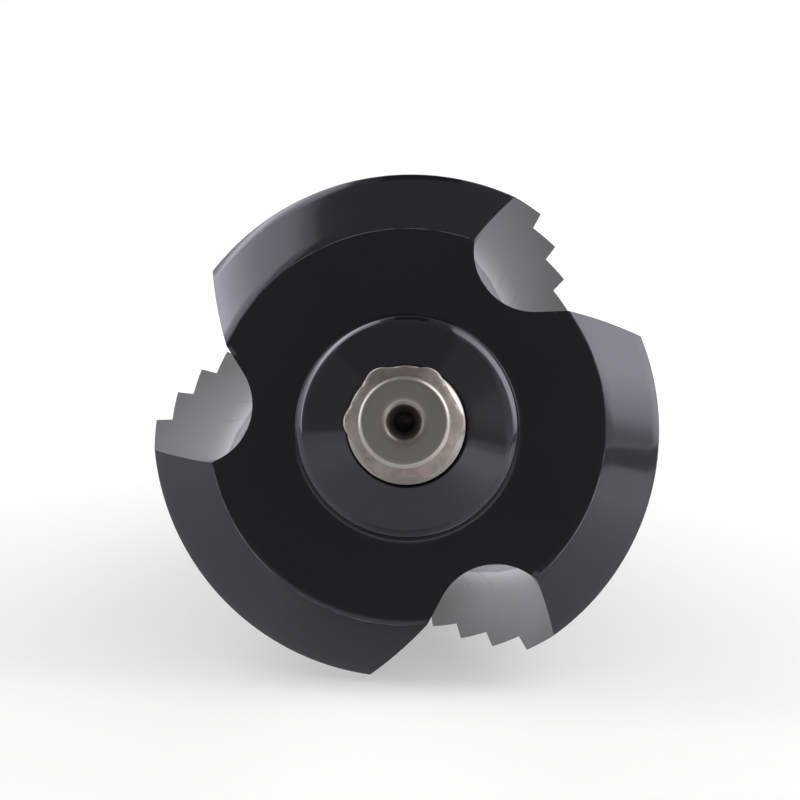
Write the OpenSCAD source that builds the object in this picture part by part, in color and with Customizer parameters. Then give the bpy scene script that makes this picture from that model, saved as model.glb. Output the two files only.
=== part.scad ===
// Step drill for sheet metal: a stepped cutter with three right-hand helical flutes, and a hex
// quick-change shank brazed into its collar. The tool is drawn upright on its own axis, point at
// z = 0 and shank up, then laid down on the three corners it rests on.

/* [Steps] */
// Diameter of the pilot at the point
pilot_d = 4; // [3:0.5:5]
// Diameter of the largest step
largest_d = 32; // [28:2:32]
// How much each step adds to the diameter
step_d = 2; // [2, 4]
// Height of one step along the axis
step_h = 4; // [3.5:0.5:5]
// Height of the pilot, with its point
pilot_h = 8; // [6:0.5:10]
// Height of the sloping shoulder between two steps
shoulder_h = 0.1; // [0.05:0.05:0.6]
// Point angle of the pilot
point_angle = 118; // [110:1:135]

/* [Flutes] */
// Turn of the flutes over one millimetre of height
twist_per_mm = 1.775; // [1:0.025:2]
// Direction of the first cutting edge at the back face
first_edge_angle = 70.4; // [60:0.1:80]
// Distance from the axis to the flute floor at the back face
back_core_r = 9.75; // [9:0.05:10]
// Distance from the axis to the flute floor at the point
tip_core_r = 0.55; // [0.5:0.05:0.7]
// Radius of the round flute floor at the back face
back_floor_r = 3.8; // [3.5:0.1:4]
// Radius of the round flute floor at the point
tip_floor_r = 1; // [0.9:0.05:1.1]
// Angle between the cutting wall and the heel wall of a flute
flute_open_angle = 68.5; // [66:0.5:72]

/* [Back and collar] */
// Height of the bevel behind the largest step
bevel_h = 3; // [2:0.1:4]
// Diameter of the flat back face
back_face_d = 24.8; // [22:0.1:25]
// Diameter of the collar round the shank
collar_d = 13.8; // [13:0.1:15]
// Height of the collar's straight wall
collar_h = 2.6; // [2:0.1:4]
// Width of the chamfer at the collar's outer edge
collar_chamfer = 0.4; // [0.2:0.05:0.6]
// Height of the collar's conical top
collar_cone_h = 1; // [0.5:0.1:1.5]
// Radius of the fillet at the collar's foot
collar_fillet = 0.3; // [0.2:0.05:0.6]

/* [Shank] */
// Hexagon width across flats, the quarter inch drive
hex_af = 6.35; // [6.25:0.01:6.35]
// Diameter that the hexagon's corners are turned to
corner_d = 7; // [6.9:0.05:7.1]
// Diameter of the round neck below the hexagon
neck_d = 7.2; // [7.1:0.05:7.6]
// Length of the round neck above the collar
neck_h = 8; // [6:0.1:10]
// Length of the shank that stands above the collar
shank_h = 25; // [24:0.1:30]
// Depth of the socket that the shank is brazed into
socket_depth = 14; // [10:0.5:16]
// Width of the chamfer at the socket's mouth
mouth_chamfer = 0.2; // [0.1:0.05:0.3]
// Distance from the shank's end to the middle of the retaining groove
groove_from_end = 9.5; // [9:0.1:10]
// Diameter at the floor of the retaining groove
groove_d = 5.1; // [4.8:0.1:5.4]
// Radius of the retaining groove's round floor
groove_r = 1.8; // [1.5:0.1:2]
// Diameter of the flat end face
end_face_d = 5.15; // [4.8:0.05:5.6]
// Height of the end chamfer
end_chamfer_h = 0.55; // [0.4:0.05:0.9]
// Height of the chamfer where the neck meets the hexagon
neck_chamfer_h = 0.45; // [0.3:0.05:0.6]
// Mouth diameter of the centre hole
centre_mouth_d = 2.2; // [2:0.1:2.8]
// Drilled diameter of the centre hole
centre_pilot_d = 1.1; // [0.9:0.1:1.3]
// Drilled depth of the centre hole
centre_depth = 2.6; // [2:0.1:4]

/* [Hidden] */

$fn = 96;
flutes = 3;
step_count = (largest_d - pilot_d) / step_d;
point_h = pilot_d / 2 / tan(point_angle / 2);
rim_z = pilot_h + step_count * step_h;
back_z = rim_z + bevel_h;
collar_edge_z = back_z + collar_h + collar_chamfer;
collar_top_z = collar_edge_z + collar_cone_h;
end_z = collar_top_z + shank_h;

function mix(a, b, t) = a + (b - a) * t;
function polar(r, a) = [r * cos(a), r * sin(a)];
function turned(p, a) = [p[0] * cos(a) - p[1] * sin(a), p[0] * sin(a) + p[1] * cos(a)];
function core_r(z) = mix(tip_core_r, back_core_r, z / back_z);
function floor_r(z) = mix(tip_floor_r, back_floor_r, z / back_z);

// Direction of the first cutting edge at height z: every lip of a flute lies on this helix
function edge_angle(z) = first_edge_angle + twist_per_mm * (z - back_z);

// Radius of the smooth cone that the steps follow, never less than the pilot's
function envelope_r(z) =
    max(pilot_d / 2, mix(pilot_d / 2, largest_d / 2, (z - pilot_h) / (rim_z - pilot_h)));

// Distance along direction a from point p to the circle of radius r about the axis
function reach(p, a, r) = let (along = p * polar(1, a)) sqrt(along * along - p * p + r * r) - along;

// The round floor touches the radial cutting wall, so its centre stands off that wall by its radius
function floor_centre(z) = let (f = floor_r(z), c = core_r(z) + f) [sqrt(c * c - f * f), -f];
function heel_foot(z) = floor_centre(z) + polar(floor_r(z), 270 - flute_open_angle);

// Where the heel wall comes out at radius r, as an angle from the cutting edge
function heel_angle(z, r) =
    let (foot = heel_foot(z), p = foot + polar(reach(foot, -flute_open_angle, r), -flute_open_angle))
    atan2(p[1], p[0]);

floor_segments = 10;
wall_segments = 3;
cutter_clear = 3;
ring_step = 2;
below_point = 1;

// Section of one flute at height z with its cutting wall along x: wall, round floor, heel wall
function flute_section(z) =
    let (
        f = floor_r(z),
        centre = floor_centre(z),
        far_r = envelope_r(z) + cutter_clear,
        heel = heel_foot(z),
        heel_run = reach(heel, -flute_open_angle, far_r)
    )
    [
        for (i = [wall_segments : -1 : 1]) [mix(centre[0], far_r, i / wall_segments), 0],
        for (i = [0 : floor_segments])
            centre + polar(f, 90 + (180 - flute_open_angle) * i / floor_segments),
        for (i = [1 : wall_segments]) heel + polar(heel_run * i / wall_segments, -flute_open_angle)
    ];

// Everything that one flute takes away, from below the point to above the back face
module flute_cutter() {
    rings = ceil((back_z + 2 * below_point) / ring_step);
    heights = [for (i = [0 : rings]) mix(-below_point, back_z + below_point, i / rings)];
    points = [for (z = heights) for (p = flute_section(z)) concat(turned(p, edge_angle(z)), z)];
    n = len(flute_section(0));
    sides = [
        for (i = [0 : rings - 1]) for (j = [0 : n - 1])
            let (a = i * n + j, b = i * n + (j + 1) % n)
            each [[a, b + n, b], [a, a + n, b + n]]
    ];
    bottom = [for (j = [0 : n - 1]) j];
    top = [for (j = [n - 1 : -1 : 0]) rings * n + j];
    polyhedron(points, concat(sides, [bottom, top]), convexity = 8);
}

// Outline of the solid cutter before its flutes are ground: point, steps, bevel, collar
module cutter_profile() {
    polygon([
        [0, 0], [pilot_d / 2, point_h],
        for (i = [1 : step_count])
            let (z = pilot_h + (i - 1) * step_h, r = (pilot_d + i * step_d) / 2)
            each [[r - step_d / 2, z], [r, z + shoulder_h]],
        [largest_d / 2, rim_z], [back_face_d / 2, back_z],
        [collar_d / 2, back_z], [collar_d / 2, back_z + collar_h],
        [collar_d / 2 - collar_chamfer, collar_edge_z],
        [neck_d / 2 + mouth_chamfer, collar_top_z], [0, collar_top_z]
    ]);
    translate([collar_d / 2, back_z]) difference() {
        square(collar_fillet);
        translate([collar_fillet, collar_fillet]) circle(r = collar_fillet);
    }
}

// The blind socket for the shank, with its chamfered mouth
module socket() {
    mouth_z = collar_top_z - mouth_chamfer;
    rotate_extrude()
        polygon([
            [0, collar_top_z - socket_depth], [neck_d / 2, collar_top_z - socket_depth],
            [neck_d / 2, mouth_z], [neck_d / 2 + 2 * mouth_chamfer, mouth_z + 2 * mouth_chamfer],
            [0, mouth_z + 2 * mouth_chamfer]
        ]);
}

module cutter_upright() {
    difference() {
        rotate_extrude() cutter_profile();
        for (k = [0 : flutes - 1]) rotate(120 * k) flute_cutter();
        socket();
    }
}

// Outline that the hexagon is turned down to: corners, end chamfer
module hex_envelope_profile() {
    neck_end = collar_top_z + neck_h;
    polygon([
        [0, neck_end - 1], [corner_d / 2, neck_end - 1], [corner_d / 2, end_z - end_chamfer_h],
        [end_face_d / 2, end_z], [0, end_z]
    ]);
}

// The round-bottomed groove that a quick-change chuck's balls drop into
module retaining_groove() {
    rotate_extrude()
        translate([groove_d / 2 + groove_r, end_z - groove_from_end]) circle(r = groove_r);
}

// Drilled and countersunk centre in the end face
module centre_hole() {
    cone_h = (centre_mouth_d - centre_pilot_d) / 2 / tan(30);
    rotate_extrude()
        polygon([
            [0, end_z - centre_depth], [centre_pilot_d / 2, end_z - centre_depth],
            [centre_pilot_d / 2, end_z - cone_h], [centre_mouth_d / 2, end_z],
            [centre_mouth_d / 2, end_z + 1], [0, end_z + 1]
        ]);
}

module shank_upright() {
    foot_z = collar_top_z - socket_depth;
    neck_end = collar_top_z + neck_h;
    difference() {
        union() {
            rotate_extrude()
                polygon([
                    [0, foot_z], [neck_d / 2, foot_z], [neck_d / 2, neck_end - neck_chamfer_h],
                    [hex_af / 2 - 0.05, neck_end], [0, neck_end]
                ]);
            intersection() {
                translate([0, 0, neck_end - 1])
                    cylinder(d = hex_af / cos(30), h = end_z - neck_end + 1, $fn = 6);
                rotate_extrude() hex_envelope_profile();
            }
        }
        retaining_groove();
        centre_hole();
    }
}

// Lying, the tool touches the floor with three corners on either side of its lowest flute: the heel
// at the front of the largest step, and the lips of two neighbouring steps near its centre of mass
rest_flute = 2;
rest_step = round(0.72 * step_count);
function step_r(i) = (pilot_d + i * step_d) / 2;
function front_z(i) = pilot_h + (i - 1) * step_h + shoulder_h;
function lip(i) =
    let (z = front_z(i)) concat(polar(step_r(i), edge_angle(z) + 120 * rest_flute), z);
function heel(i) =
    let (z = front_z(i), r = step_r(i))
    concat(polar(r, edge_angle(z) + heel_angle(z, r) + 120 * rest_flute), z);

touch = heel(step_count);
across = cross(lip(rest_step) - touch, lip(rest_step + 1) - touch);
down = across / norm(across) * (across[2] > 0 ? -1 : 1);
rest_tilt = asin(-down[2]);
rest_roll = -90 - atan2(down[1], down[0]);
rest_length = end_z * cos(rest_tilt) + end_face_d / 2 * sin(rest_tilt);

// Lays the upright tool along y with its shank toward -y, resting on its three corners
module laid() {
    translate([0, rest_length / 2, down * touch])
        rotate([90 - rest_tilt, 0, 0])
            rotate(rest_roll)
                children();
}

// The cutter: one piece of tool steel with its steps, flutes, bevel and collar, dark coated
module cutter_body() {
    color([0.12, 0.12, 0.13])
        laid()
            cutter_upright();
}

// The drive shank: one piece of steel, its round foot brazed into the collar's socket
module hex_shank() {
    color([0.62, 0.58, 0.54])
        laid()
            shank_upright();
}

cutter_body();
hex_shank();
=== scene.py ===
"""Studio scene of a step drill bit that lies on a pale floor, seen from the end of its hex shank.

The tool's own frame is the one it was turned in: the point at z = 0, the shank up, lengths in
millimetres. RestPose carries it into the row frame, in metres, as the solids lie.
"""

from __future__ import annotations

import logging
from dataclasses import dataclass, field
from enum import Enum
from functools import partial

import bpy
import numpy as np
from mathutils import Matrix, Vector

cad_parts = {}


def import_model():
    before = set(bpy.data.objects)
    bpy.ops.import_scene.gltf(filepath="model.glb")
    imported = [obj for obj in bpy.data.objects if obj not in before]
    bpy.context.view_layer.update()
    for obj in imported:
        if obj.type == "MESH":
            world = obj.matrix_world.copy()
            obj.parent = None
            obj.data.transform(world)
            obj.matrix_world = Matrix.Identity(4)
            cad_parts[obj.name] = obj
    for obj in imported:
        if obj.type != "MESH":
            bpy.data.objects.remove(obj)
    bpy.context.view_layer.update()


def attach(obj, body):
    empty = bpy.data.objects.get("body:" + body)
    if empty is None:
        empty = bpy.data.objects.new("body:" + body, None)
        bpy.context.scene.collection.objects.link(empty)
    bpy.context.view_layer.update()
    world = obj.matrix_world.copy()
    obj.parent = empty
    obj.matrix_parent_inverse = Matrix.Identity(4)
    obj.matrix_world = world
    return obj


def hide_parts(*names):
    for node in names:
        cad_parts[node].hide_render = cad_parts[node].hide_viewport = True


LOG = logging.getLogger("step_drill")
MM = 0.001
WHITE = "FFFFFF"
THIRD = 2 * np.pi / 3
Pairs = tuple[tuple[float, float], ...]


class Slot(Enum):
    """Material slots of the record, one for each solid."""

    COATED = "coated_steel"
    BARE = "bare_steel"


def linear(hex_colour: str, alpha: float = 1.0) -> tuple[float, float, float, float]:
    """Turn an sRGB hex colour into Blender's linear colour.

    Args:
        hex_colour: six hex digits, such as "9A9690".
        alpha: the fourth value.

    Returns:
        Linear red, green and blue, and alpha.
    """
    srgb = np.array([int(hex_colour[i : i + 2], 16) for i in (0, 2, 4)]) / 255.0
    value = np.where(srgb <= 0.04045, srgb / 12.92, ((srgb + 0.055) / 1.055) ** 2.4)
    return (float(value[0]), float(value[1]), float(value[2]), alpha)


def connect(tree: bpy.types.NodeTree, node: bpy.types.Node, **links: object) -> None:
    """Set inputs of a node, each to a value or to what another node gives.

    Args:
        tree: node tree that holds the nodes.
        node: the node whose inputs are set.
        links: input name with underscores for spaces, or in_ and its number, to a value, to an
            output socket, or to a node, which means the first output that it has in use.
    """
    for name, value in links.items():
        key = name.replace("_", " ")
        socket = node.inputs[int(key[3:])] if key.startswith("in ") else node.inputs[key]
        if isinstance(value, bpy.types.Node):
            value = next(output for output in value.outputs if output.enabled)
        if isinstance(value, bpy.types.NodeSocket):
            tree.links.new(value, socket)
        else:
            socket.default_value = value


def add_node(
    tree: bpy.types.NodeTree, kind: str, settings: dict | None = None, **links: object
) -> bpy.types.Node:
    """Add one shader node.

    Args:
        tree: node tree that gets the node.
        kind: Blender's node type, without the ShaderNode in front.
        settings: attributes to set on the node itself.
        links: what its inputs get, as in connect.

    Returns:
        The new node.
    """
    node = tree.nodes.new(f"ShaderNode{kind}")
    for name, value in (settings or {}).items():
        setattr(node, name, value)
    connect(tree, node, **links)
    return node


def set_ramp(node: bpy.types.Node, stops: list[tuple[float, str]]) -> bpy.types.NodeSocket:
    """Give a colour ramp its stops.

    Args:
        node: the colour ramp node.
        stops: position and sRGB hex colour of each stop, in order.

    Returns:
        The ramp's colour output.
    """
    elements = node.color_ramp.elements
    while len(elements) < len(stops):
        elements.new(1.0)
    for element, (place, colour) in zip(elements, stops):
        element.position = place
        element.color = linear(colour)
    return node.outputs["Color"]


def set_curve(node: bpy.types.Node, points: Pairs) -> None:
    """Give a float curve its points, joined by straight lines.

    Args:
        node: the float curve node.
        points: place and value of each point, both from 0 to 1, in order.
    """
    knots = node.mapping.curves[0].points
    while len(knots) < len(points):
        knots.new(0.5, 0.5)
    for knot, (place, value) in zip(knots, points):
        knot.location = (place, value)
        knot.handle_type = "VECTOR"
    node.mapping.update()


@dataclass(frozen=True)
class CutterSizes:
    """Sizes of the cutter in millimetres and degrees, the same as the solids have."""

    pilot_r: float = 2.0
    largest_r: float = 16.0
    step_r: float = 1.0
    step_h: float = 4.0
    pilot_h: float = 8.0
    shoulder_h: float = 0.1
    point_angle: float = 118.0
    relief: float = 0.01375
    relief_turn: float = 34.2
    twist_per_mm: float = 1.775
    first_edge: float = 70.4
    back_core_r: float = 9.75
    tip_core_r: float = 0.55
    back_floor_r: float = 3.8
    tip_floor_r: float = 1.0
    open_angle: float = 68.5
    bevel_h: float = 3.0
    back_face_r: float = 12.4
    collar_r: float = 6.9
    collar_h: float = 2.6
    collar_chamfer: float = 0.4
    collar_cone_h: float = 1.0
    collar_fillet: float = 0.3
    bore_r: float = 3.6
    socket_depth: float = 14.0
    mouth_chamfer: float = 0.2

    @property
    def steps(self) -> int:
        """Number of steps above the pilot."""
        return round((self.largest_r - self.pilot_r) / self.step_r)

    @property
    def point_h(self) -> float:
        """Height of the conical point."""
        return self.pilot_r / float(np.tan(np.radians(self.point_angle / 2)))

    @property
    def rim_z(self) -> float:
        """Height of the largest step's upper edge."""
        return self.pilot_h + self.steps * self.step_h

    @property
    def back_z(self) -> float:
        """Height of the flat back face."""
        return self.rim_z + self.bevel_h

    @property
    def collar_top_z(self) -> float:
        """Height of the collar's top, where the shank comes out."""
        return self.back_z + self.collar_h + self.collar_chamfer + self.collar_cone_h


@dataclass(frozen=True)
class ShankSizes:
    """Sizes of the hex shank in millimetres, the same as the solids have."""

    hex_r: float = 3.175
    corner_r: float = 3.5
    neck_r: float = 3.6
    neck_h: float = 8.0
    neck_chamfer_h: float = 0.45
    length: float = 25.0
    groove_from_end: float = 9.5
    groove_floor_r: float = 2.55
    groove_r: float = 1.8
    end_face_r: float = 2.575
    end_chamfer_h: float = 0.55
    centre_mouth_r: float = 1.1
    centre_drill_r: float = 0.55
    centre_depth: float = 2.6
    edge_softness: float = 0.12


@dataclass(frozen=True)
class RestPose:
    """Carries the upright tool to where it lies: three of its corners touch the floor."""

    tilt: float
    roll: float
    along: float
    lift: float

    @property
    def matrix(self) -> Matrix:
        """The turn and shift from the tool's frame to the row frame, both in millimetres."""
        lean = Matrix.Rotation(np.radians(90 - self.tilt), 4, "X")
        roll = Matrix.Rotation(np.radians(self.roll), 4, "Z")
        return Matrix.Translation((0.0, self.along, self.lift)) @ lean @ roll

    def place(self, points: np.ndarray) -> np.ndarray:
        """Carry points into the row frame.

        Args:
            points: array of shape (n, 3), in millimetres, in the tool's frame.

        Returns:
            The same points in metres, in the row frame.
        """
        m = np.array(self.matrix)
        return (points @ m[:3, :3].T + m[:3, 3]) * MM

    def direction(self, x: float, y: float, z: float) -> Vector:
        """A direction of the tool's frame, turned into the row frame."""
        return (self.matrix.to_3x3() @ Vector((x, y, z))).normalized()

    def point(self, x: float, y: float, z: float) -> Vector:
        """A point of the tool's frame, in metres in the row frame."""
        return (self.matrix @ Vector((x, y, z))) * MM


def rounded(path: np.ndarray, radius: np.ndarray, count: int) -> tuple[np.ndarray, np.ndarray]:
    """Round the inner corners of a profile.

    Each corner P becomes the curve (1-t)^2 A + 2t(1-t) P + t^2 B, where A and B lie on the two
    sides at the corner's radius from P.

    Args:
        path: corners of the profile, of shape (n, 2).
        radius: how far along each side the rounding starts, one value for each inner corner.
        count: points on each rounding.

    Returns:
        The rounded profile and, for each of its points, 1 in the middle of a rounding, falling
        to 0 at its ends.
    """
    corner = path[1:-1, None, :]
    before = path[:-2, None, :] - corner
    after = path[2:, None, :] - corner
    before = before / np.linalg.norm(before, axis=-1, keepdims=True)
    after = after / np.linalg.norm(after, axis=-1, keepdims=True)
    t = np.linspace(0.0, 1.0, count)[None, :, None]
    reach = radius[:, None, None]
    start, end = corner + before * reach, corner + after * reach
    curve = (1 - t) ** 2 * start + 2 * t * (1 - t) * corner + t**2 * end
    edge = np.broadcast_to(4 * t * (1 - t), curve.shape[:2] + (1,))
    points = np.vstack([path[:1], curve.reshape(-1, 2), path[-1:]])
    return points, np.concatenate([[0.0], edge.reshape(-1), [0.0]])


def divided(path: np.ndarray, edge: np.ndarray, spacing: float) -> tuple[np.ndarray, np.ndarray]:
    """Divide the long sides of a profile, so that none is longer than the spacing.

    Args:
        path: points of the profile, of shape (n, 2).
        edge: a value at each point, carried along.
        spacing: longest side allowed, in the profile's unit.

    Returns:
        The divided profile and the value at each of its points.
    """
    side = np.linalg.norm(np.diff(path, axis=0), axis=1)
    parts = np.maximum(1, np.ceil(side / spacing)).astype(int)
    index = np.repeat(np.arange(len(side)), parts)
    step = np.arange(len(index)) - np.repeat(np.cumsum(parts) - parts, parts)
    t = (step / parts[index])[:, None]
    points = path[index] * (1 - t) + path[index + 1] * t
    value = np.where(t[:, 0] > 0, 0.0, edge[index])
    return np.vstack([points, path[-1:]]), np.append(value, edge[-1])


def quad_corners(value: np.ndarray) -> np.ndarray:
    """Gather the values at the four corners of every quad of a ring grid.

    Args:
        value: one value or vector for each point, of shape (rings, points, ...).

    Returns:
        Array of shape (rings - 1, points, 4, ...), in the order in which the quads are wound.
    """
    beside = np.roll(value, -1, axis=1)
    return np.stack([value[:-1], beside[:-1], beside[1:], value[1:]], axis=2)


@dataclass
class SkinMesh:
    """A closed skin of rings, each with the same number of points, capped by a pole at both ends.

    It carries three attributes for the finish: grain, the place in the pattern of tool marks at
    each corner of each quad; wear, how far each point is rubbed, from 0 to 1, which on the
    bevel's edges and the rim of the shank's end is partly a painted highlight; and dull, for
    each quad, from fresh (0) to 1, or polished, below 0: on the coat all of it is painted shade,
    on the shank a half is its real scale and the full value in the centre hole painted shade.
    """

    name: str
    rings: np.ndarray
    poles: tuple[np.ndarray, np.ndarray]
    grain: np.ndarray
    wear: np.ndarray
    dull: np.ndarray
    sharp_angle: float = 32.0

    def build(self, pose: RestPose) -> bpy.types.Object:
        """Make the mesh object: quads between rings, a fan of triangles round each pole.

        Args:
            pose: where the tool lies.

        Returns:
            The object, at the origin, with its place in its mesh.
        """
        m, n = self.rings.shape[:2]
        points = np.vstack([self.rings.reshape(-1, 3), self.poles[0][None], self.poles[1][None]])
        ring, column = np.meshgrid(np.arange(m - 1), np.arange(n), indexing="ij")
        beside = (column + 1) % n
        row, next_row = ring * n, (ring + 1) * n
        quads = np.stack([row + column, row + beside, next_row + beside, next_row + column], axis=-1)
        quads = quads.reshape(-1, 4)
        first = np.arange(n)
        low = np.stack([np.full(n, m * n), (first + 1) % n, first], axis=-1)
        last = (m - 1) * n
        high = np.stack([np.full(n, m * n + 1), last + first, last + (first + 1) % n], axis=-1)
        faces = quads.tolist() + low.tolist() + high.tolist()
        mesh = bpy.data.meshes.new(self.name)
        mesh.from_pydata(pose.place(points).tolist(), [], faces)
        start, end = self.grain[0], self.grain[-1]
        below = np.stack([(start[:, 0] + start[:, 1]) / 2, start[:, 1], start[:, 0]], axis=1)
        above = np.stack([(end[:, 2] + end[:, 3]) / 2, end[:, 3], end[:, 2]], axis=1)
        grain = np.concatenate([self.grain.reshape(-1), below.reshape(-1), above.reshape(-1)])
        corner = np.concatenate([quads.reshape(-1), low.reshape(-1), high.reshape(-1)])
        wear = np.append(self.wear.reshape(-1), [0.0, 0.0])[corner]
        dull = np.concatenate([self.dull.reshape(-1), self.dull[0], self.dull[-1]])
        mesh.attributes.new("grain", "FLOAT_VECTOR", "CORNER").data.foreach_set("vector", grain)
        mesh.attributes.new("wear", "FLOAT", "CORNER").data.foreach_set("value", wear)
        mesh.attributes.new("dull", "FLOAT", "FACE").data.foreach_set("value", dull)
        mesh.polygons.foreach_set("use_smooth", np.ones(len(mesh.polygons), dtype=bool))
        mesh.set_sharp_from_angle(angle=float(np.radians(self.sharp_angle)))
        mesh.update()
        thing = bpy.data.objects.new(self.name, mesh)
        bpy.context.scene.collection.objects.link(thing)
        return thing


@dataclass
class Flutes:
    """The three helical flutes: a radial cutting wall, a round floor and a straight heel wall."""

    sizes: CutterSizes

    def edge_angle(self, z: np.ndarray) -> np.ndarray:
        """Direction of the first lip at each height, in radians: it turns evenly with height."""
        return np.radians(self.sizes.first_edge + self.sizes.twist_per_mm * (z - self.sizes.back_z))

    def section(
        self, z: np.ndarray, lip_r: np.ndarray, heel_r: np.ndarray, count: int
    ) -> tuple[np.ndarray, np.ndarray]:
        """Walk each flute's section from its heel to its lip, with the cutting wall along x.

        The floor's radius f and its distance c from the axis grow evenly with height. The wall
        y = 0 runs from the lip in to where the floor touches it; the floor is an arc about
        (sqrt(c^2 - f^2), -f); the heel wall leaves it at the opening angle. A circle smaller than
        the arc's ends cuts the arc itself, by the law of cosines.

        Args:
            z: heights of the sections.
            lip_r: radius at which each cutting wall ends.
            heel_r: radius at which each heel wall ends.
            count: points on each section.

        Returns:
            Points of shape (sections, count, 2) and how far each one is from its lip.
        """
        s = self.sizes
        t = z / s.back_z
        f = s.tip_floor_r + (s.back_floor_r - s.tip_floor_r) * t
        c = s.tip_core_r + (s.back_core_r - s.tip_core_r) * t + f
        centre = np.stack([np.sqrt(c * c - f * f), -f], axis=-1)
        away = -np.arcsin(f / c)
        opening = np.radians(s.open_angle)
        heel_dir = np.array([np.cos(opening), -np.sin(opening)])
        foot = centre + f[:, None] * np.array([-np.sin(opening), -np.cos(opening)])
        foot_r = np.linalg.norm(foot, axis=1)

        def cut(r: np.ndarray) -> np.ndarray:
            """Angle from the centre's direction at which a circle about the axis cuts the floor."""
            return np.arccos(np.clip((r * r - c * c - f * f) / (2 * c * f), -1.0, 1.0))

        rake = np.maximum(lip_r - centre[:, 0], 0.0)
        start = np.where(rake > 0, np.pi / 2, away + cut(lip_r))
        along = foot @ heel_dir
        heel = np.sqrt(np.maximum(along**2 - foot_r**2 + heel_r**2, 0.0)) - along
        heel = np.where(heel_r > foot_r, heel, 0.0)
        end = np.where(heel_r > foot_r, 1.5 * np.pi - opening, away + 2 * np.pi - cut(heel_r))
        arc = f * (end - start)
        d = np.linspace(1.0, 0.0, count)[None, :] * (rake + arc + heel)[:, None]
        turn = start[:, None] + (d - rake[:, None]) / f[:, None]
        on_rake = np.stack([lip_r[:, None] - d, np.zeros_like(d)], axis=-1)
        on_floor = centre[:, None] + f[:, None, None] * np.stack([np.cos(turn), np.sin(turn)], axis=-1)
        on_heel = foot[:, None] + (d - (rake + arc)[:, None])[..., None] * heel_dir
        points = np.where((d < rake[:, None])[..., None], on_rake, on_floor)
        points = np.where((d > (rake + arc)[:, None])[..., None], on_heel, points)
        return points, d


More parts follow.
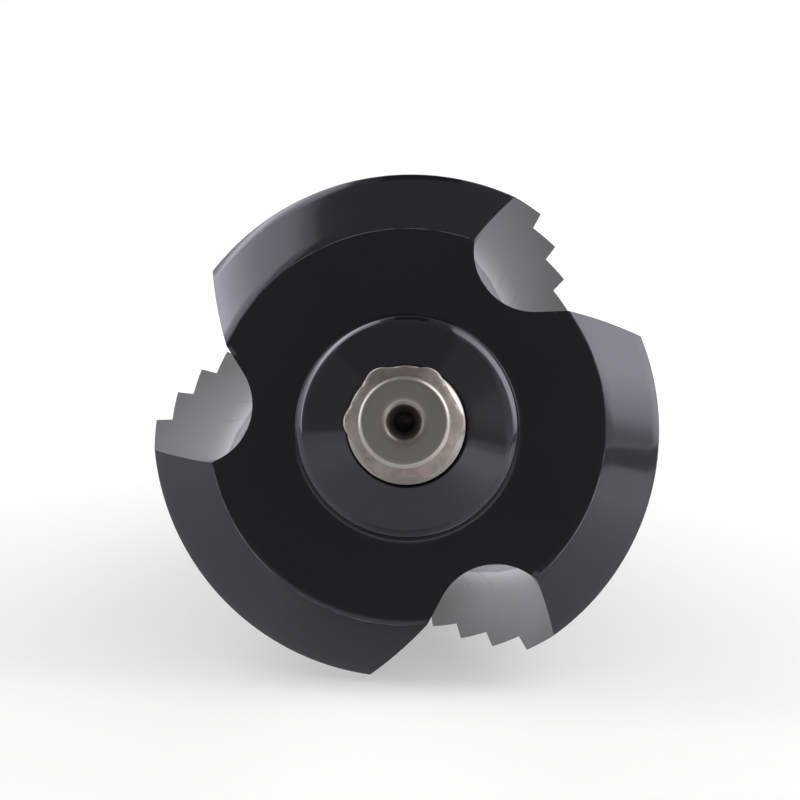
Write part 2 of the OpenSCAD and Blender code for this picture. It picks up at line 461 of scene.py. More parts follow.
@dataclass
class CutterBody:
    """The coated cutter: stepped lands between its flutes, bevel, back face, collar and socket.

    point_start is the radius of the first ring at the point, face_margin the width of back face
    that is still cut by the flutes' grid, and painted_shade_depth how far below the rim painted shade
    grows down the flutes, the coat mirroring less and less.
    """

    sizes: CutterSizes = field(default_factory=CutterSizes)
    point_start: float = 0.66
    face_margin: float = 0.5
    collar_margin: float = 1.2
    land_points: int = 46
    flute_points: int = 38
    ring_spacing: float = 0.7
    collar_spacing: float = 0.35
    face_rings: int = 14
    edge_round: float = 0.06
    bevel_round: float = 0.07
    painted_shade_depth: float = 14.0

    def land_radius(self, r: np.ndarray, turn: np.ndarray, share: np.ndarray) -> np.ndarray:
        """Radius of an eccentrically ground land behind its lip.

        The land is a circle whose centre stands e off the axis, ahead of the lip by the relief
        turn a, and which passes through the lip: r(t) = e cos(t + a) + sqrt(q^2 - e^2 sin^2(t + a)).

        Args:
            r: radius at the lip.
            turn: angle behind the lip, in radians.
            share: how much of the relief the land has, from 0 to 1.

        Returns:
            The radius at that angle.
        """
        a = np.radians(self.sizes.relief_turn)
        e = self.sizes.relief * r * share
        q2 = r * r + e * e - 2 * r * e * np.cos(a)
        return e * np.cos(turn + a) + np.sqrt(q2 - (e * np.sin(turn + a)) ** 2)

    def land_profile(self) -> tuple[np.ndarray, np.ndarray]:
        """Outline of the lands as height and radius, from the point to the start of the back face.

        Returns:
            Points of shape (rings, 2) and how near each is to an outer edge, from 0 to 1.
        """
        s, start = self.sizes, self.point_start
        step = np.arange(s.steps)
        z, r = s.pilot_h + step * s.step_h, s.pilot_r + step * s.step_r
        foot, lip = np.stack([z, r], -1), np.stack([z + s.shoulder_h, r + s.step_r], -1)
        point = [[start / s.pilot_r * s.point_h, start], [s.point_h, s.pilot_r]]
        margin_r = s.back_face_r - self.face_margin
        bevel = [[s.rim_z, s.largest_r], [s.back_z, s.back_face_r], [s.back_z, margin_r]]
        path = np.vstack([point, np.stack([foot, lip], axis=1).reshape(-1, 2), bevel])
        radius = np.full(len(path) - 2, self.edge_round)
        radius[-2:] = self.bevel_round
        on_corner = 4
        points, edge = rounded(path, radius, on_corner)
        # the bevel's two edges are rubbed fully, partly a painted highlight; the steps' edges get half
        before_bevel = np.arange(len(edge)) < len(edge) - 2 * on_corner - 1
        edge = np.where(before_bevel, 0.5 * edge, edge)
        return divided(points, edge, self.ring_spacing)

    def collar_profile(self) -> np.ndarray:
        """Outline of the back face, collar, socket mouth and socket wall, as height and radius."""
        s = self.sizes
        wall_top = s.back_z + s.collar_h
        path = [
            [s.back_z, s.collar_r + self.collar_margin],
            [s.back_z, s.collar_r],
            [wall_top, s.collar_r],
            [wall_top + s.collar_chamfer, s.collar_r - s.collar_chamfer],
            [s.collar_top_z, s.bore_r + s.mouth_chamfer],
            [s.collar_top_z - s.mouth_chamfer, s.bore_r],
            [s.collar_top_z - s.socket_depth, s.bore_r],
        ]
        radius = np.array([s.collar_fillet, 0.17, 0.15, 0.06, 0.04])
        return divided(*rounded(np.array(path), radius, 7), self.collar_spacing)[0]

    def skin(self) -> SkinMesh:
        """Work out the whole closed skin of the cutter.

        Each ring of lands and flutes is one land and one flute, worked out with the cutting wall
        along x and turned to its place by the flutes' direction at that height. The land's end
        and the heel wall's end depend on each other, so they are settled by going round four
        times. From there to the collar the rings blend evenly, p = (1-t) flute ring + t collar.

        Returns:
            Its rings, poles, grain, wear, partly a painted highlight on the bevel's edges, and
            dullness, a painted shade down the flutes and in the corner at the collar.
        """
        s, flutes = self.sizes, Flutes(self.sizes)
        path, edge = self.land_profile()
        z, r = path[:, 0], path[:, 1]
        share = np.clip((s.back_z - z) / s.bevel_h, 0.0, 1.0)
        heel_r = r * (1 - 1.2 * s.relief * share)
        for _ in range(4):
            heel_point = flutes.section(z, r, heel_r, 2)[0][:, 0]
            span = THIRD + np.arctan2(heel_point[:, 1], heel_point[:, 0])
            heel_r = self.land_radius(r, span, share)
        turn = span[:, None] * np.linspace(0.0, 1.0, self.land_points)[None, :]
        land_r = self.land_radius(r[:, None], turn, share[:, None])
        land = land_r[..., None] * np.stack([np.cos(turn), np.sin(turn)], axis=-1)
        flute, from_lip = flutes.section(z, r, heel_r, self.flute_points + 2)
        ahead = np.array([[np.cos(THIRD), np.sin(THIRD)], [-np.sin(THIRD), np.cos(THIRD)]])
        local = np.concatenate([land, flute[:, 1:-1] @ ahead], axis=1)
        columns = local.shape[1]
        angle = flutes.edge_angle(z)[:, None] + THIRD * np.arange(3)[None, :]
        cos, sin = np.cos(angle)[..., None], np.sin(angle)[..., None]
        x = local[:, None, :, 0] * cos - local[:, None, :, 1] * sin
        y = local[:, None, :, 0] * sin + local[:, None, :, 1] * cos
        fluted = np.stack([x, y, np.broadcast_to(z[:, None, None], x.shape)], axis=-1)
        fluted = fluted.reshape(len(z), -1, 3)

        round_path = self.collar_profile()
        even = flutes.edge_angle(np.array([s.back_z])) + THIRD * (np.arange(3 * columns) / columns)
        circle = np.stack([np.cos(even), np.sin(even)], axis=-1)[None]
        level = np.broadcast_to(round_path[:, 0, None, None], (len(round_path), 3 * columns, 1))
        collar = np.concatenate([round_path[:, 1, None, None] * circle, level], axis=-1)
        t = np.linspace(0.0, 1.0, self.face_rings + 2)[1:-1, None, None]
        face = fluted[-1][None] * (1 - t) + collar[0][None] * t
        rings = np.concatenate([fluted, face, collar])

        on_land = np.tile((np.arange(columns) > 0) & (np.arange(columns) < self.land_points - 1), 3)
        wear = edge[:, None] * on_land[None, :]
        wear = np.concatenate([wear, np.zeros((self.face_rings + len(round_path), 3 * columns))])
        grain = self.grain(rings, from_lip, len(z), columns)
        poles = (np.zeros(3), np.array([0.0, 0.0, s.collar_top_z - s.socket_depth]))
        in_flute = np.tile(np.arange(columns) >= self.land_points - 1, 3)
        height, reach = rings[:-1, 0, 2], np.linalg.norm(rings[:-1, 0, :2], axis=-1)
        index = np.arange(len(rings) - 1)
        # painted shade: the flutes mirror less the further they run below the rim
        painted_flute_shade = np.clip((s.rim_z - height) / self.painted_shade_depth, 0.0, 1.0)
        dull = in_flute[None, :] * np.where(index < len(z) - 1, painted_flute_shade, 0.0)[:, None]
        # painted shade: the inner corner between the back face and the collar mirrors less
        painted_collar_shade = (height < s.back_z + s.collar_fillet) & (reach < s.collar_r + s.collar_fillet)
        dull[painted_collar_shade & (reach > s.bore_r + 0.5) & (index >= len(z))] = 1.0
        return SkinMesh("cutter_body_skin", rings, poles, grain, wear, dull.astype(float))

    def grain(self, rings: np.ndarray, from_lip: np.ndarray, fluted: int, columns: int) -> np.ndarray:
        """Direction of the tool marks at each corner of each face.

        Turned and ground faces carry (cos, sin of the angle about the axis, place across the
        profile), so their marks run round the axis, seven to the millimetre. Flute faces carry
        (height, an offset, distance from the lip), so their marks run along the flute, six to
        the millimetre.

        Args:
            rings: all rings of the skin.
            from_lip: distance from the lip of each flute point.
            fluted: number of rings that the flutes cut.
            columns: points of one land and one flute together.

        Returns:
            Array of shape (rings - 1, points, 4, 3): the grain at the corners of each quad.
        """
        angle = np.arctan2(rings[..., 1], rings[..., 0])
        radius = np.linalg.norm(rings[..., :2], axis=-1)
        across = radius + 1.31 * rings[..., 2]
        turned = np.stack([2.2 * np.cos(angle), 2.2 * np.sin(angle), 7.0 * across], axis=-1)
        along = np.broadcast_to(rings[:fluted, :1, 2], from_lip.shape)
        flute = np.stack([0.35 * along, np.full_like(from_lip, 40.0), 6.0 * from_lip], axis=-1)
        result = quad_corners(turned)
        run = np.stack([flute[:, :-1], flute[:, 1:]], axis=2)
        run = np.stack([run[:-1, :, 0], run[:-1, :, 1], run[1:, :, 1], run[1:, :, 0]], axis=2)
        first = self.land_points - 1
        for k in range(3):
            own = np.array([0.0, 9.0 * k, 0.0])
            result[: fluted - 1, k * columns + first : (k + 1) * columns] = run + own
        return result


@dataclass
class HexShank:
    """The bare steel shank: foot, round neck, hexagon with its groove, end face and centre hole.

    hexagon_gap keeps the neck's top edge just inside the hexagon's flats, and neck_wear and
    corner_wear say how far those edges are rubbed.
    """

    cutter: CutterSizes = field(default_factory=CutterSizes)
    sizes: ShankSizes = field(default_factory=ShankSizes)
    columns: int = 240
    groove_points: int = 21
    on_corner: int = 5
    # points at the rim of the end face that are rubbed fully, partly a painted highlight
    rim_highlight_points: int = 8
    ring_spacing: float = 0.22
    hexagon_gap: float = 0.01
    neck_wear: float = 0.2
    corner_wear: float = 0.12

    def profile(self) -> tuple[np.ndarray, np.ndarray, np.ndarray]:
        """Outline of the shank as height and radius, from the foot to the floor of the centre hole.

        Returns:
            Points of shape (rings, 2), how near each is to an outer edge, and 1 where the
            hexagon bounds the ring.
        """
        s, top = self.sizes, self.cutter.collar_top_z
        end, neck = top + s.length, top + s.neck_h
        middle = end - s.groove_from_end
        half = float(np.sqrt(s.groove_r**2 - (s.groove_floor_r + s.groove_r - s.corner_r) ** 2))
        swing = half * np.linspace(-1.0, 1.0, self.groove_points)
        sag = s.groove_floor_r + s.groove_r - np.sqrt(s.groove_r**2 - swing**2)
        groove = np.stack([middle + swing, sag], -1)
        foot_z, gap = top - self.cutter.socket_depth, self.hexagon_gap
        round_part = [
            [foot_z, s.neck_r - 0.3],
            [foot_z, s.neck_r],
            [neck - s.neck_chamfer_h, s.neck_r],
            [neck, s.hex_r - 3 * gap],
        ]
        hex_start = [[neck, s.hex_r - gap], [neck + 2 * gap, s.corner_r]]
        hex_end = [[end - s.end_chamfer_h, s.corner_r], [end - 0.13, s.end_face_r + 0.05]]
        slope = (s.centre_mouth_r - s.centre_drill_r) / np.tan(np.radians(30))
        end_part = [
            [end, s.end_face_r - 0.09],
            [end, s.centre_mouth_r],
            [end - slope, s.centre_drill_r],
            [end - s.centre_depth, s.centre_drill_r],
        ]
        path = np.vstack([round_part, hex_start, groove, hex_end, end_part])
        radius = np.full(len(path) - 2, 0.004)
        radius[[0, 1]] = 0.1
        radius[-5:] = [0.1, 0.05, 0.07, 0.24, 0.1]
        points, edge = rounded(path, radius, self.on_corner)
        # the edges up to the neck's top, the centre hole, and the rim of the end face, rubbed fully, partly
        # a painted highlight
        corners = 4 * self.on_corner
        edge[1 : corners + 1] *= self.neck_wear
        edge[-corners - 1 :] = 0.0
        edge[-corners : self.rim_highlight_points - corners] = 1.0
        points, edge = divided(points, edge, self.ring_spacing)
        return points, edge, (points[:, 0] >= neck).astype(float)

    def skin(self) -> SkinMesh:
        """Work out the closed skin of the shank.

        The radius at angle t is the smooth lesser of the turned profile and the hexagon's flat,
        h / cos(t - m), where m is the middle of the nearest flat. The marks run round the turned
        faces, six to the millimetre, and along the drawn flats.

        Returns:
            Its rings, poles, grain, wear and dullness: scaled to a half, the end face fresh, the
            neck's chamfer polished, and the centre hole at full, a painted shade.
        """
        s = self.sizes
        path, edge, hexed = self.profile()
        angle = np.linspace(0.0, 2 * np.pi, self.columns, endpoint=False)
        flat = s.hex_r / np.cos((angle % (np.pi / 3)) - np.pi / 6)
        turned = path[:, 1][:, None] + 0.0 * angle
        wall = flat[None, :] + 100.0 * (1 - hexed[:, None])
        k = s.edge_softness
        gap = np.clip(k - np.abs(turned - wall), 0.0, None)
        radius = np.minimum(turned, wall) - gap * gap / (4 * k) * hexed[:, None]
        level = np.broadcast_to(path[:, :1], radius.shape)
        rings = np.stack([radius * np.cos(angle), radius * np.sin(angle), level], axis=-1)
        on_flat = ((turned > wall) & (hexed[:, None] > 0)).astype(float)
        side = np.linalg.norm(np.diff(path, axis=0), axis=1)
        run = np.concatenate([[0.0], np.cumsum(side)])[:, None] + 0.0 * angle
        ground = np.stack([2.0 * np.cos(angle) + 0 * run, 2.0 * np.sin(angle) + 0 * run, 6.0 * run], -1)
        across = radius * np.sin((angle % (np.pi / 3)) - np.pi / 6)
        drawn = np.stack([0.5 * run, 30.0 + 0 * run, 6.0 * across], axis=-1)
        flat_quad = quad_corners(on_flat).mean(axis=2) > 0.5
        grain = np.where(flat_quad[..., None, None], quad_corners(drawn), quad_corners(ground))
        corner = np.clip(1 - np.abs(turned - wall) / 0.1, 0.0, 1.0) * hexed[:, None]
        wear = np.maximum(edge[:, None] + 0.0 * angle, self.corner_wear * corner)
        poles = (np.array([0.0, 0.0, path[0, 0]]), np.array([0.0, 0.0, path[-1, 0] - 0.25]))
        end = self.cutter.collar_top_z + s.length
        middle = (path[1:] + path[:-1]) / 2
        dull = np.where(middle[:, 0] > end - 0.01, 0.0, 0.5)
        # painted shade: the centre hole takes the darkest colour
        dull[middle[:, 1] < s.centre_drill_r + 0.02] = 1.0
        neck = self.cutter.collar_top_z + s.neck_h
        dull[(middle[:, 0] > neck - s.neck_chamfer_h) & (middle[:, 0] < neck)] = -0.5
        return SkinMesh("hex_shank_skin", rings, poles, grain, wear, dull[:, None] + 0.0 * angle, 38.0)


@dataclass(frozen=True)
class BlackOxideCoat:
    """High-speed steel, turned and ground, then chemically blackened and oiled."""

    shade: str = "0D0D0F"
    light_shade: str = "121214"
    # bare steel at the rubbed edges, along the bevel partly a painted highlight
    bared_and_highlight: str = "8C8A8B"
    ior: float = 1.52
    tint: str = "EFEEFF"
    oil_share: float = 0.45
    oil_ior: float = 1.36
    oil_roughness: float = 0.1
    low_roughness: float = 0.08
    high_roughness: float = 0.12
    # shade_roughness and shade_specular hold where dull is full, the painted shade
    shade_roughness: float = 0.16
    shade_specular: float = 0.28
    oil_tint: str = "F0ECFC"
    bared_roughness: float = 0.32
    most_bared: float = 0.55
    cloud_mm: float = 9.0
    fleck_mm: float = 1.923077
    mark_depth_mm: float = 0.0006

    def build(self) -> bpy.types.Material:
        """Make the material.

        The oiled black oxide gives the eye a deep black, a shade violet, that mirrors its
        surroundings weakly head-on and strongly at a slant. Where dull grows, down the flutes and in
        the corner at the collar, the oil coat thins and the specular level falls, a painted shade
        that darkens these hollows and leaves them softer.
        The tool marks are some hundredths of a millimetre apart, drawn at about 0.15 mm so that
        they show. The clouds of the bath are about 9 mm wide. Outer edges are rubbed to the steel
        in thin broken lines, whose flecks are about 2 mm apart; on the bevel's two edges this bare
        steel is partly real rubbing and partly a painted highlight.

        Returns:
            The material.
        """
        material = bpy.data.materials.new("oiled_black_oxide_on_steel")
        material.use_nodes = True
        tree = material.node_tree
        add, shader = partial(add_node, tree), tree.nodes["Principled BSDF"]
        grain, wear, dull = (
            add("Attribute", {"attribute_name": name}).outputs[kind]
            for name, kind in (("grain", "Vector"), ("wear", "Fac"), ("dull", "Fac"))
        )
        place = add("TexCoord").outputs["Object"]
        marks = add("TexNoise", Vector=grain, Scale=1.0, Detail=3.0, Roughness=0.6)
        cloud = add("TexNoise", Vector=place, Scale=1000 / self.cloud_mm, Detail=4.0, Roughness=0.55)
        flecks = add("TexNoise", Vector=place, Scale=1000 / self.fleck_mm, Detail=4.0, Roughness=0.6)
        # rubbed edges: real rubbing, and on the bevel's edges partly a painted highlight
        worn = add("Math", {"operation": "MULTIPLY"}, in_0=wear, in_1=flecks)
        bare = add(
            "MapRange",
            {"interpolation_type": "SMOOTHSTEP"},
            Value=worn,
            From_Min=0.3,
            From_Max=0.6,
            To_Max=self.most_bared,
        )
        ramp = add("ValToRGB", Fac=cloud)
        black = set_ramp(ramp, [(0.35, self.shade), (0.65, self.light_shade)])
        colour = add("Mix", {"data_type": "RGBA"}, in_0=bare, in_6=black, in_7=linear(self.bared_and_highlight))
        smooth = add(
            "MapRange",
            Value=marks,
            From_Min=0.3,
            From_Max=0.7,
            To_Min=self.low_roughness,
            To_Max=self.high_roughness,
        )
        # where dull grows the oil coat and the specular level fall: painted shade in the flutes and at the
        # collar
        coat, specular, satin = (
            add("MapRange", Value=dull, To_Min=oiled, To_Max=shaded)
            for oiled, shaded in ((self.oil_share, 0.0), (0.5, self.shade_specular), (smooth, self.shade_roughness))
        )
        rough = add("MapRange", Value=bare, To_Min=satin, To_Max=self.bared_roughness)
        bump = add("Bump", Height=marks, Strength=1.0, Distance=self.mark_depth_mm * MM)
        connect(tree, shader, Base_Color=colour, Metallic=bare, Roughness=rough, Normal=bump)
        connect(tree, shader, IOR=self.ior, Specular_IOR_Level=specular, Specular_Tint=linear(self.tint))
        connect(tree, shader, Coat_Weight=coat, Coat_IOR=self.oil_ior)
        connect(tree, shader, Coat_Tint=linear(self.oil_tint), Coat_Roughness=self.oil_roughness)
        return material


@dataclass(frozen=True)
class BareSteel:
    """Hardened steel bar, milled to a hexagon, turned at its ends and left bare."""

    ground: str = "8E8984"
    scaled: str = "8E8581"
    browned: str = "7A716D"
    # painted shade in the centre hole; the darkest blotches of scale lean a little towards it
    dark_scale_and_shade: str = "3A3835"
    # rubbed edges; at the rim of the end face partly a painted highlight
    rubbed: str = "A9A6A2"
    ground_roughness: float = 0.3
    scaled_roughness: float = 0.4
    rubbed_roughness: float = 0.36
    blotch: float = 0.34
    cloud_mm: float = 0.9
    mark_depth_mm: float = 0.0025

    def build(self) -> bpy.types.Material:
        """Make the material.

        The ground end face gives the eye an even warm grey sheen. The chamfer and the flats keep
        a thin brownish heat-treatment scale, duller and blotched in spots of about 0.9 mm. In the
        centre hole the colour goes to its darkest stop, a painted shade. The chamfer of the neck
        is turned bright. The marks are finer than the render shows, so they are drawn about
        0.15 mm apart. Edges are rubbed bright; at the rim of the end face this is partly real
        rubbing and partly a painted highlight.

        Returns:
            The material.
        """
        material = bpy.data.materials.new("bare_milled_steel")
        material.use_nodes = True
        tree = material.node_tree
        add, shader = partial(add_node, tree), tree.nodes["Principled BSDF"]
        grain, wear, dull = (
            add("Attribute", {"attribute_name": name}).outputs[kind]
            for name, kind in (("grain", "Vector"), ("wear", "Fac"), ("dull", "Fac"))
        )
        place = add("TexCoord").outputs["Object"]
        marks = add("TexNoise", Vector=grain, Scale=1.0, Detail=4.0, Roughness=0.65)
        stains = add("TexNoise", Vector=place, Scale=1000 / self.cloud_mm, Detail=5.0, Roughness=0.62)
        patchy = add(
            "MapRange", Value=stains, From_Min=0.3, From_Max=0.7, To_Min=-self.blotch, To_Max=self.blotch
        )
        covered = add("Math", {"operation": "MULTIPLY_ADD"}, in_0=patchy, in_1=dull, in_2=dull)
        ramp = add("ValToRGB", Fac=covered)
        # the last stop is the centre hole's painted shade
        stops = [(0.0, self.ground), (0.4, self.scaled), (0.62, self.browned), (0.95, self.dark_scale_and_shade)]
        shade = set_ramp(ramp, stops)
        bright = add("Math", {"operation": "MULTIPLY", "use_clamp": True}, in_0=wear, in_1=0.8)
        colour = add("Mix", {"data_type": "RGBA"}, in_0=bright, in_6=shade, in_7=linear(self.rubbed))
        rough = add(
            "MapRange",
            {"clamp": False},
            Value=covered,
            From_Max=0.5,
            To_Min=self.ground_roughness,
            To_Max=self.scaled_roughness,
        )
        polished = add("MapRange", Value=bright, To_Min=rough, To_Max=self.rubbed_roughness)
        bump = add("Bump", Height=marks, Strength=1.0, Distance=self.mark_depth_mm * MM)
        connect(tree, shader, Base_Color=colour, Metallic=1.0, Roughness=polished, Normal=bump)
        return material


def pairs(values: tuple[float, ...]) -> Pairs:
    """Take the values two by two."""
    return tuple(zip(values[::2], values[1::2], strict=True))


LEFT_LEVELS = pairs(
    (0, 0, 0.075, 0, 0.095, 0.65, 0.12, 0.82, 0.17, 1, 0.27, 1.15, 0.31, 1.35, 0.35, 1.9)
    + (0.41, 2.7, 0.47, 4.7, 0.53, 5.6, 0.58, 3, 0.64, 1.85, 0.78, 1.1, 0.93, 0.7, 1, 0.6)
)
RIGHT_LEVELS = pairs(
    (0, 0.1, 0.04, 0.1, 0.065, 0.25, 0.1, 0.75, 0.14, 1.4, 0.21, 1.95, 0.3, 2.6)
    + (0.514, 2.5, 0.684, 2.3, 0.878, 1.3, 0.93, 1.15, 0.97, 0.9, 1, 0.4)
)
CANOPY = pairs(
    (-0.22, -0.34, 0.12, -0.34, 0.12, 0.16, 0, 0.16, -0.086, 0.045, -0.145, 0.015, -0.23, -0.05)
)
CANOPY_END = pairs((-0.045, 0.03, 0.045, 0.03, 0.045, 0.16, -0.045, 0.16))


@dataclass(frozen=True)
class Softbox:
    """A rectangular lamp, placed by angles about the tool's axis as seen from its shank end.

    Its levels are places from 0 to 1 across its width, in the direction of growing azimuth, each
    with a radiance. With a slant the lines of equal brightness lean: from the lamp's lower edge to
    its upper one they shift by that share of its width.
    """

    name: str
    azimuth: float
    off_axis: float
    distance: float
    width: float
    height: float
    slant: float
    levels: Pairs

    def build(self, pose: RestPose, target_z: float) -> bpy.types.Object:
        """Make the lamp, aimed at the back face; its width runs round the tool's axis.

        The place across the lamp is x - slant * (y - 0.5), where x and y run from 0 to 1 over its
        width and height.

        Args:
            pose: where the tool lies.
            target_z: height of the back face in the tool's frame, in millimetres.

        Returns:
            The lamp.
        """
        az, off = np.radians(self.azimuth), np.radians(self.off_axis)
        out = pose.direction(np.sin(off) * np.cos(az), np.sin(off) * np.sin(az), np.cos(off))
        around = pose.direction(-np.sin(az), np.cos(az), 0.0)
        data = bpy.data.lights.new(self.name, "AREA")
        data.shape, data.size, data.size_y = "RECTANGLE", self.width, self.height
        data.energy = 4 * self.width * self.height  # at this energy a level is a radiance
        data.use_nodes = True
        tree = data.node_tree
        add = partial(add_node, tree)
        surface = add("NewGeometry")
        spot = add("SeparateXYZ", Vector=surface.outputs["Parametric"])
        leaning = add(
            "Math",
            {"operation": "MULTIPLY_ADD"},
            in_0=spot.outputs["Y"],
            in_1=-self.slant,
            in_2=spot.outputs["X"],
        )
        place = add("Math", {"operation": "ADD"}, in_0=leaning, in_1=self.slant / 2)
        curve = add("FloatCurve", Value=place)
        peak = max(level for _, level in self.levels)
        set_curve(curve, tuple((where, level / peak) for where, level in self.levels))
        strength = add("Math", {"operation": "MULTIPLY"}, in_0=curve, in_1=peak)
        connect(tree, tree.nodes["Emission"], Strength=strength)
        lamp = bpy.data.objects.new(self.name, data)
        turn = Matrix((around, out.cross(around), out)).transposed().to_4x4()
        lamp.matrix_world = Matrix.Translation(pose.point(0, 0, target_z) + out * self.distance) @ turn
        lamp.visible_camera = False
        bpy.context.scene.collection.objects.link(lamp)
        return lamp


@dataclass(frozen=True)
class PaintedReflectionCard:
    """A flat card that only reflections see, so that the coat mirrors more than lamps and white.

    Its level runs from middle_level, within near metres of a point under its middle, to
    outer_level, from far metres on. It is a painted reflection: levels below 1 stand for the
    shade round the studio, and levels above 1 for light.
    """

    name: str
    corners: tuple[tuple[float, float, float], ...]
    middle_level: float
    outer_level: float
    near: float = 0.15
    far: float = 0.5

    def build(self) -> bpy.types.Object:
        """Make the card.

        Returns:
            The card, part of the stage.
        """
        material = bpy.data.materials.new(f"{self.name}_card")
        material.use_nodes = True
        tree = material.node_tree
        tree.nodes.clear()
        add = partial(add_node, tree)
        place = add("TexCoord").outputs["Object"]
        middle = tuple(np.mean(np.array(self.corners), axis=0) * (1.0, 1.0, 0.5))
        away = add("VectorMath", {"operation": "DISTANCE"}, in_0=place, in_1=middle)
        level = add(
            "MapRange",
            Value=away,
            From_Min=self.near,
            From_Max=self.far,
            To_Min=self.middle_level,
            To_Max=self.outer_level,
        )
        # painted reflection: the card glows only for reflections
        painted_reflection = add("Emission", Color=linear(WHITE), Strength=level)
        add("OutputMaterial", Surface=painted_reflection)
        mesh = bpy.data.meshes.new(self.name)
        mesh.from_pydata([list(c) for c in self.corners], [], [list(range(len(self.corners)))])
        mesh.materials.append(material)
        card = bpy.data.objects.new(self.name, mesh)
        card.visible_camera = card.visible_diffuse = card.visible_shadow = False
        bpy.context.scene.collection.objects.link(card)
        return card


@dataclass
class Studio:
    """Pale floor, white surroundings, two softboxes, cards for reflections, and the camera.

    painted_floor_ramps gives an axis of the floor, two places along it and the levels there: light and
    shade painted on the floor as reflections see it. In turn they are the floor's level to the
    right, what the left adds to it, where the floor behind takes over, and the run of
    painted_floor_behind, the curve of its levels. painted_shadow_centre is the middle of a painted shadow,
    which darkens the floor from painted_shadow_far to painted_shadow_near. From fade_near to fade_far the
    camera sees it turn white. camera_place is in millimetres in the tool's frame, and axis_pixel is where
    the tool's axis vanishes.
    """

    floor_half: float = 3.0
    floor_shade: str = "D2D2D1"
    floor_light_shade: str = "D4D4D3"
    floor_lift: float = 0.42
    painted_floor_ramps: tuple[tuple[str, float, float, float, float], ...] = (
        ("X", 0.012, 0.06, 0.85, 1.7),
        ("X", -0.01, -0.07, 0.0, 0.25),
        ("Y", -0.022, -0.013, 0.0, 1.0),
        ("Y", -0.02, 0.08, 0.0, 1.0),
    )
    painted_floor_behind: Pairs = pairs((0, 1.1, 0.07, 1.35, 0.14, 1.25, 0.2, 0.93, 0.3, 1.08, 0.6, 1.14, 1, 1.1))
    # a painted shadow under the tool, which reflections see on the floor
    painted_shadow_centre: tuple[float, float, float] = (0.0, -0.028, 0.0)
    painted_shadow_near: float = 0.003
    painted_shadow_far: float = 0.014
    painted_shadow_level: float = 0.6
    fade_near: float = 0.15
    fade_far: float = 0.4
    surroundings: float = 0.55
    camera_place: tuple[float, float, float] = (2.43, -3.30, 434.0)
    axis_pixel: tuple[float, float] = (446.3, 479.8)
    focal_pixels: float = 5881.0
    image_pixels: float = 800.0
    boxes: tuple[Softbox, ...] = (
        Softbox("left_softbox", 148.0, 88.0, 0.40, 0.75, 0.24, 1.3, LEFT_LEVELS),
        Softbox("right_softbox", 32.0, 86.0, 0.45, 0.70, 0.26, 0.3, RIGHT_LEVELS),
    )
    # painted reflections of the studio's light and shade, seen by nothing else
    cards: tuple[PaintedReflectionCard, ...] = (
        PaintedReflectionCard(
            "front",
            ((-0.72, -0.62, 0.1), (0.55, -0.62, 0.06), (0.55, -0.62, 0.85), (-0.72, -0.62, 0.85)),
            0.25,
            0.45,
        ),
        PaintedReflectionCard(
            "flank",
            ((-1.5, -0.62, 0.0), (-0.72, -0.62, 0.0), (-0.72, -0.62, 1.1), (-1.5, -0.62, 1.1)),
            0.55,
            0.55,
        ),
        PaintedReflectionCard(
            "back", ((-1.0, 0.5, 0.02), (0.4, 0.5, 0.02), (0.4, 0.5, 0.9), (-1.0, 0.5, 0.9)), 1.3, 1.3
        ),
        PaintedReflectionCard("canopy", tuple((x, y, 0.3) for x, y in CANOPY), 0.33, 0.33),
        PaintedReflectionCard("canopy_end", tuple((x, y, 0.29) for x, y in CANOPY_END), 0.08, 0.08),
        PaintedReflectionCard(
            "base",
            ((0.14, -0.09, 0.0), (0.14, 0.3, 0.0), (0.14, 0.3, 0.013), (0.14, -0.09, 0.013)),
            0.6,
            0.6,
        ),
    )

    def seen_by(self, tree: bpy.types.NodeTree, *rays: str) -> bpy.types.NodeSocket | bpy.types.Node:
        """One for the named kinds of ray and zero for the others."""
        path = add_node(tree, "LightPath").outputs
        seen = path[rays[0]]
        for ray in rays[1:]:
            seen = add_node(tree, "Math", {"operation": "MAXIMUM"}, in_0=seen, in_1=path[ray])
        return seen

    def build_world(self) -> None:
        """Light the scene evenly and show white all round to the camera and to reflections."""
        world = bpy.data.worlds.new("white_surroundings")
        world.use_nodes = True
        bpy.context.scene.world = world
        tree = world.node_tree
        tree.nodes.clear()
        add = partial(add_node, tree)
        fill = add("Background", Color=linear(WHITE), Strength=self.surroundings)
        white = add("Background", Color=linear(WHITE), Strength=1.0)
        mix = add(
            "MixShader",
            in_0=self.seen_by(tree, "Is Camera Ray", "Is Glossy Ray", "Is Transmission Ray"),
            in_1=fill,
            in_2=white,
        )
        add("OutputWorld", Surface=mix)

    def build_floor(self) -> bpy.types.Object:
        """Make the floor: matt white card that keeps the tool's shadow and else looks white.

        Reflections see it brighter or darker from place to place: light and shade painted on the
        floor for them, with a painted shadow under the tool. The fibres are finer than the render
        shows, so they are drawn about 1 mm wide.

        Returns:
            The floor, part of the stage.
        """
        material = bpy.data.materials.new("matt_white_card")
        material.use_nodes = True
        tree = material.node_tree
        tree.nodes.clear()
        add = partial(add_node, tree)
        place = add("TexCoord").outputs["Object"]
        fibre = add("TexNoise", Vector=place, Scale=900.0, Detail=3.0)
        ramp = add("ValToRGB", Fac=fibre)
        shade = set_ramp(ramp, [(0.3, self.floor_shade), (0.7, self.floor_light_shade)])
        matt = add("BsdfDiffuse", Color=shade, Roughness=0.6)
        lift = add("Emission", Color=linear(WHITE), Strength=self.floor_lift)
        lifted = add("AddShader", in_0=matt, in_1=lift)
        apart = add("SeparateXYZ", Vector=place)
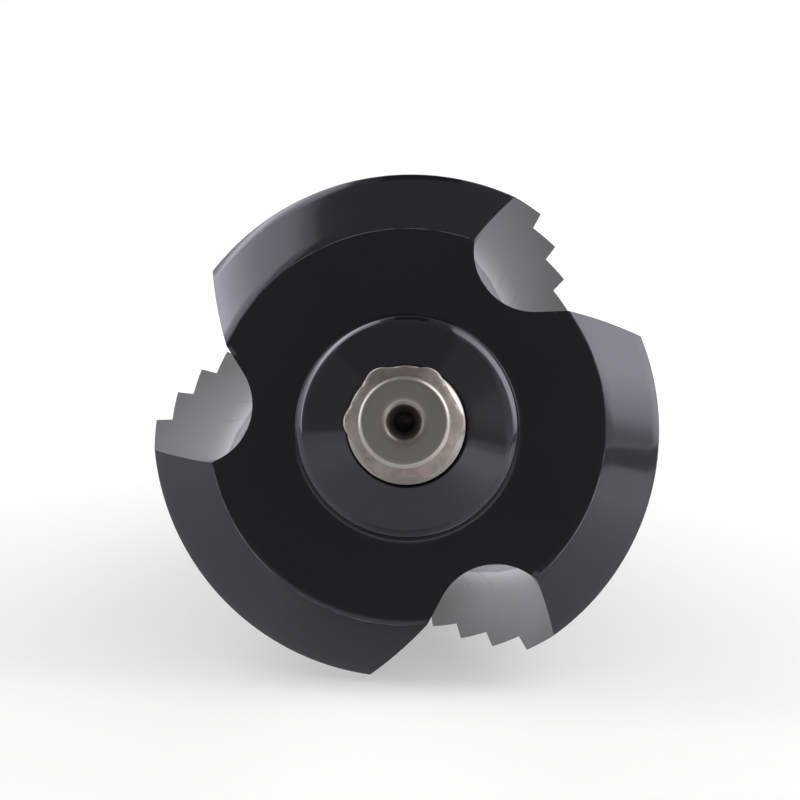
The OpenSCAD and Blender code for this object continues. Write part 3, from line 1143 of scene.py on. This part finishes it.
        # painted light and shade on the floor as reflections see it
        right, left, behind, run = (
            add(
                "MapRange",
                Value=apart.outputs[axis],
                From_Min=start,
                From_Max=end,
                To_Min=first,
                To_Max=last,
            )
            for axis, start, end, first, last in self.painted_floor_ramps
        )
        beside = add("Math", {"operation": "ADD"}, in_0=right, in_1=left)
        curve = add("FloatCurve", Value=run)
        # the curve holds half of each level, because it ends at 1
        set_curve(curve, tuple((where, level / 2) for where, level in self.painted_floor_behind))
        back = add("Math", {"operation": "MULTIPLY"}, in_0=curve, in_1=2.0)
        painted_floor_light = add("Mix", in_0=behind, in_2=beside, in_3=back)
        # painted shadow under the tool, for reflections
        under = add("VectorMath", {"operation": "DISTANCE"}, in_0=place, in_1=self.painted_shadow_centre)
        shadow = add(
            "MapRange",
            Value=under,
            From_Min=self.painted_shadow_near,
            From_Max=self.painted_shadow_far,
            To_Min=self.painted_shadow_level,
        )
        level = add("Math", {"operation": "MULTIPLY"}, in_0=painted_floor_light, in_1=shadow)
        painted_reflection = add("Emission", Color=linear(WHITE), Strength=level)
        away = add("VectorMath", {"operation": "LENGTH"}, in_0=place)
        fade = add("MapRange", Value=away, From_Min=self.fade_near, From_Max=self.fade_far)
        white = add("Emission", Color=linear(WHITE), Strength=1.0)
        shown = add("MixShader", in_0=fade, in_1=lifted, in_2=white)
        mix = matt
        for share, shader in (
            (self.seen_by(tree, "Is Camera Ray"), shown),
            (self.seen_by(tree, "Is Glossy Ray", "Is Transmission Ray"), painted_reflection),
        ):
            mix = add("MixShader", in_0=share, in_1=mix, in_2=shader)
        add("OutputMaterial", Surface=mix)
        h = self.floor_half
        mesh = bpy.data.meshes.new("floor")
        mesh.from_pydata([(-h, -h, 0.0), (h, -h, 0.0), (h, h, 0.0), (-h, h, 0.0)], [], [(0, 1, 2, 3)])
        mesh.materials.append(material)
        floor = bpy.data.objects.new("floor", mesh)
        bpy.context.scene.collection.objects.link(floor)
        return floor

    def build_camera(self, pose: RestPose) -> bpy.types.Object:
        """Set the camera where it looks along the shank as in the photograph.

        The tool's axis vanishes at axis_pixel, so the view direction is the axis turned by that
        pixel's distance from the middle over the focal length.

        Args:
            pose: where the tool lies.

        Returns:
            The camera.
        """
        half = self.image_pixels / 2
        across, down = ((pixel - half) / self.focal_pixels for pixel in self.axis_pixel)
        forward = pose.direction(-across, down, -1.0)
        right = forward.cross(pose.direction(0, 1, 0)).normalized()
        data = bpy.data.cameras.new("camera")
        data.sensor_width = 36.0
        data.lens = self.focal_pixels / self.image_pixels * data.sensor_width
        data.clip_start, data.clip_end = 0.01, 20.0
        camera = bpy.data.objects.new("camera", data)
        turn = Matrix((right, right.cross(forward), -forward)).transposed().to_4x4()
        camera.matrix_world = Matrix.Translation(pose.point(*self.camera_place)) @ turn
        bpy.context.scene.collection.objects.link(camera)
        bpy.context.scene.camera = camera
        return camera

    def build(self, pose: RestPose, target_z: float) -> None:
        """Set up everything round the tool.

        Args:
            pose: where the tool lies.
            target_z: height of the back face in the tool's frame, in millimetres.
        """
        self.build_world()
        self.build_floor()
        for box in self.boxes:
            box.build(pose, target_z)
        for card in self.cards:
            card.build()
        self.build_camera(pose)
        bpy.context.scene.view_settings.view_transform = "Standard"


def main() -> None:
    """Build the tool, the studio and the camera."""
    logging.basicConfig(level=logging.INFO, format="%(name)s: %(message)s")
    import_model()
    pose = RestPose(
        tilt=12.031365223634564, roll=1.9382178276407132, along=47.21399028697292, lift=2.538776101053145
    )
    cutter, shank = CutterBody(), HexShank()
    Studio().build(pose, cutter.sizes.back_z)
    LOG.info("studio and camera set")
    for builder, node, slot, finish in (
        (cutter, "cutter_body", Slot.COATED.value, BlackOxideCoat()),
        (shank, "hex_shank", Slot.BARE.value, BareSteel()),
    ):
        piece = builder.skin().build(pose)
        piece.data.materials.append(finish.build())
        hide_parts(node)
        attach(piece, "root")
        LOG.info("%s: %d faces", piece.name, len(piece.data.polygons))


if __name__ == "__main__":
    main()
